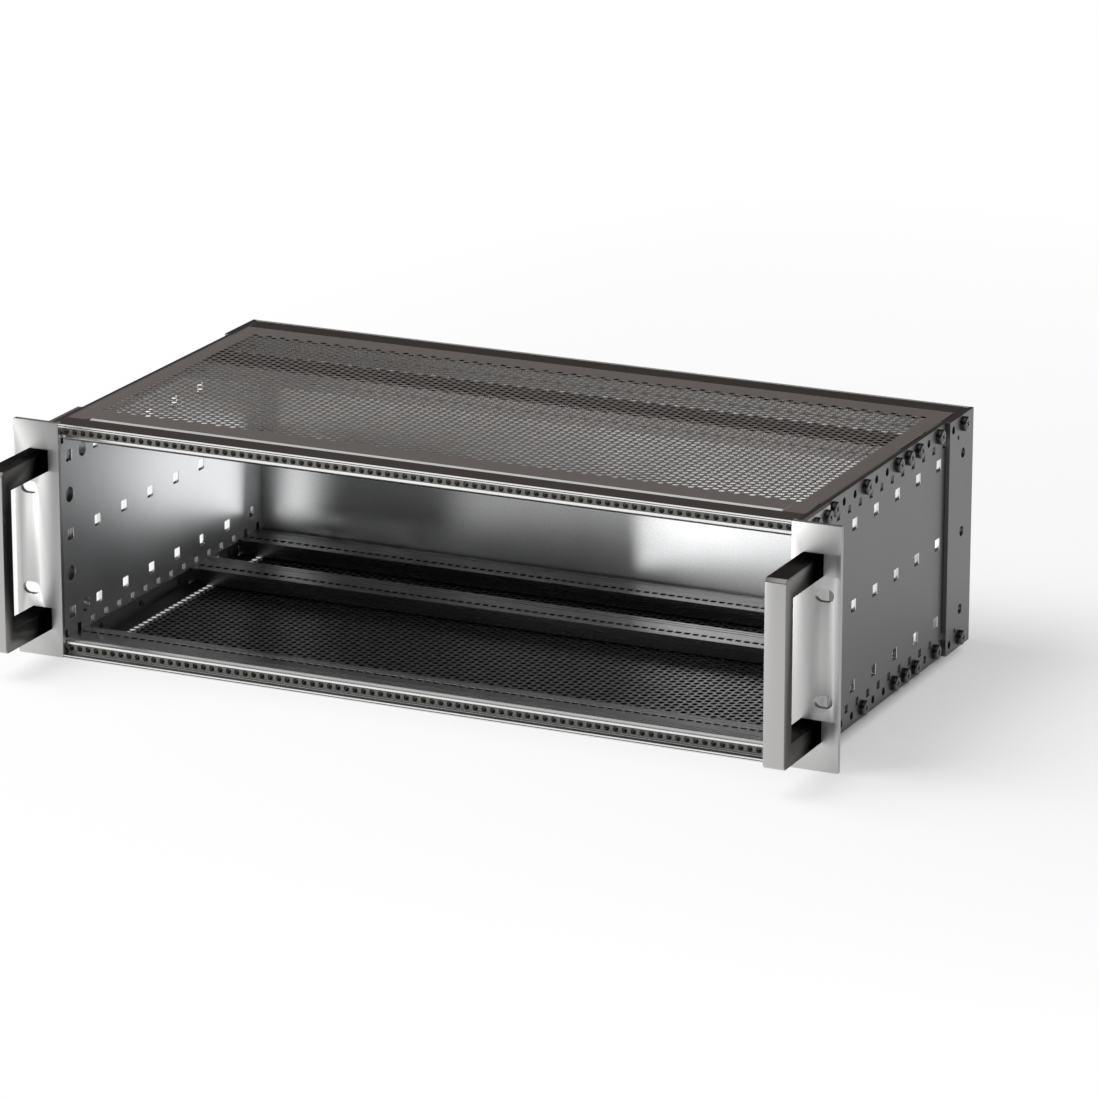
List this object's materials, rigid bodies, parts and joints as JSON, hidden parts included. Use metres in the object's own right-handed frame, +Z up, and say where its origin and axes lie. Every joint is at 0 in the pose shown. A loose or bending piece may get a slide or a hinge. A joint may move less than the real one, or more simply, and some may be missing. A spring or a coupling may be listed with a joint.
{
  "type": "subrack card cage",
  "caption": "Open-front 19 inch card cage with side panels, extruded rails, perforated covers, a closed back, mounting flanges and front handles; it holds plug-in circuit modules in a rack",
  "frame": {"origin": "middle of the bounding box's footprint, on the floor that the cage stands on", "axes": "+X to the right seen from the front, across the mounting flanges; +Y from the front to the back; +Z up"},
  "size_m": [0.4826, 0.2918, 0.1326],
  "materials": {
    "anodised_sheet": "satin",
    "anodised_extrusion": "satin",
    "cover_sheet": "satin",
    "handle_bar": "satin",
    "plated_steel": "satin",
    "black_screws": "blackened, semi-gloss"
  },
  "bodies": {
    "root": {"bottom_cover": "cover_sheet", "front_bottom_rail": "anodised_extrusion", "front_bottom_strip": "plated_steel", "front_top_rail": "anodised_extrusion", "front_top_strip": "plated_steel", "handle_screws": "black_screws", "left_bracket_screws": "black_screws", "left_cover_screws": "black_screws", "left_front_bracket": "anodised_sheet", "left_front_handle": "handle_bar", "left_leg_screws": "black_screws", "left_rail_screws": "black_screws", "left_rear_plate": "anodised_sheet", "left_rear_plate_screws": "black_screws", "left_side_panel": "anodised_sheet", "middle_bottom_rail": "anodised_extrusion", "middle_top_rail": "anodised_extrusion", "rear_bottom_rail": "anodised_extrusion", "rear_bottom_strip": "plated_steel", "rear_panel": "anodised_sheet", "rear_panel_screws": "black_screws", "rear_top_rail": "anodised_extrusion", "rear_top_strip": "plated_steel", "right_bracket_screws": "black_screws", "right_cover_screws": "black_screws", "right_front_bracket": "anodised_sheet", "right_front_handle": "handle_bar", "right_leg_screws": "black_screws", "right_rail_screws": "black_screws", "right_rear_plate": "anodised_sheet", "right_rear_plate_screws": "black_screws", "right_side_panel": "anodised_sheet", "top_cover": "cover_sheet"}
  },
  "joints": []
}
